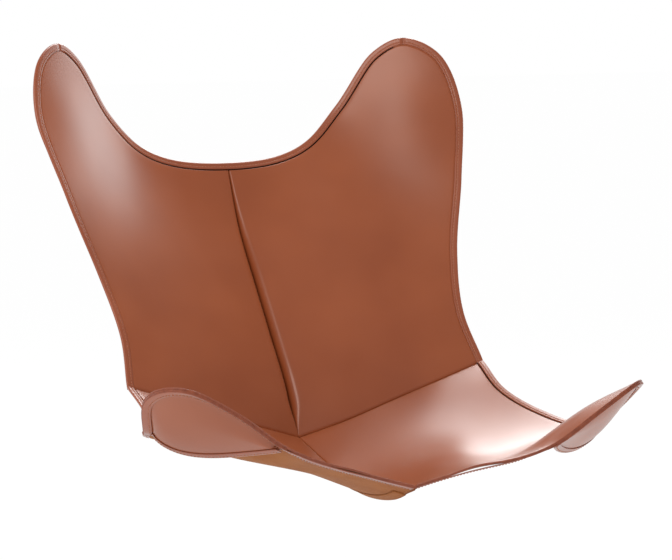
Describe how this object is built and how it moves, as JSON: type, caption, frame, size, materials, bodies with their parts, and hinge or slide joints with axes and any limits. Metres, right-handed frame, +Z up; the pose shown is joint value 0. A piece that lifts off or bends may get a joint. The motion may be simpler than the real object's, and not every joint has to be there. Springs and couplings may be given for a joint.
{
  "type": "butterfly chair sling",
  "caption": "Smooth saddle leather sling for a butterfly chair: two back panels and two seat panels sewn at a cross seam, with bound edges and a rod pocket in each ear.",
  "frame": {"origin": "under the middle of the sling, level with its lowest point", "axes": "+Z up, +X to the right ear seen by someone who faces the chair from the front, front edge towards -Y"},
  "size_m": [0.8552, 0.7669, 0.704],
  "materials": {
    "face_leather": "smooth glossy saddle leather",
    "trim_leather": "smooth leather strip, stitched",
    "flesh_tape": "undyed flesh side"
  },
  "bodies": {
    "root": {"back_panel_left": "face_leather", "seat_panel_left": "face_leather", "back_left_pocket": "face_leather", "back_left_pocket_hem": "trim_leather", "top_binding_left": "trim_leather", "back_side_binding_left": "trim_leather", "front_left_pocket": "face_leather", "front_left_pocket_hem": "trim_leather", "front_edge_facing_left": "trim_leather", "seat_side_binding_left": "trim_leather", "cross_seam_tape_left": "flesh_tape", "back_panel_right": "face_leather", "seat_panel_right": "face_leather", "back_right_pocket": "face_leather", "back_right_pocket_hem": "trim_leather", "top_binding_right": "trim_leather", "back_side_binding_right": "trim_leather", "front_right_pocket": "face_leather", "front_right_pocket_hem": "trim_leather", "front_edge_facing_right": "trim_leather", "seat_side_binding_right": "trim_leather", "cross_seam_tape_right": "flesh_tape", "centre_back_tape": "flesh_tape", "centre_seat_tape": "flesh_tape"}
  },
  "joints": []
}
